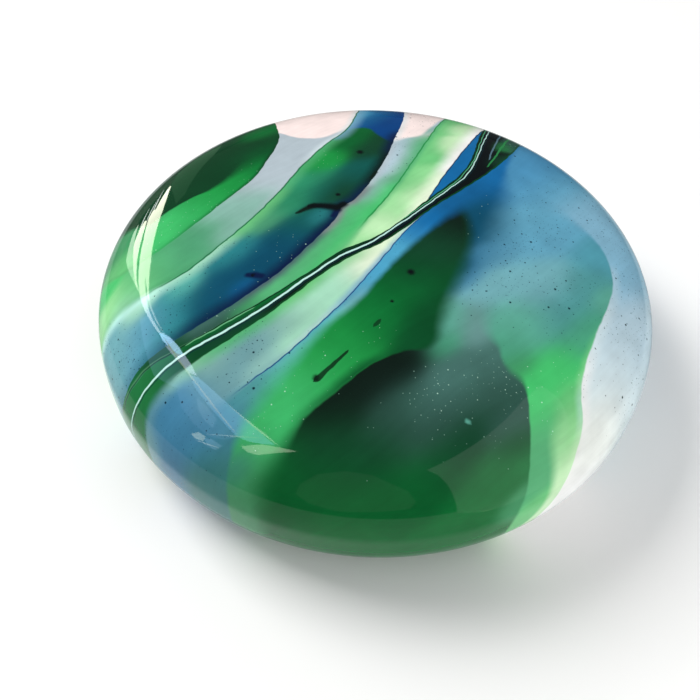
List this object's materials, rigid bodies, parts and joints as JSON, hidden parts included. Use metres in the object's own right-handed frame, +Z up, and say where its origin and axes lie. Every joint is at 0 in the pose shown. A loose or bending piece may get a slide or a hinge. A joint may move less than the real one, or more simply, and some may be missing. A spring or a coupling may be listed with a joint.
{
  "type": "entremet cake",
  "caption": "Round uncut mousse cake with a low domed top, a rounded side that tucks under to a flat base, and a glossy marbled mirror glaze.",
  "frame": {"origin": "centre of the flat underside, on the surface that the cake stands on", "axes": "+Z up along the round cake's axis, +X to the right and +Y away from the picture's viewer"},
  "size_m": [0.18, 0.18, 0.055],
  "materials": {
    "mirror_glaze": "wet-looking mirror glaze, marbled in greens, blues and cream"
  },
  "bodies": {
    "root": {"entremet_cake": "mirror_glaze"}
  },
  "joints": []
}
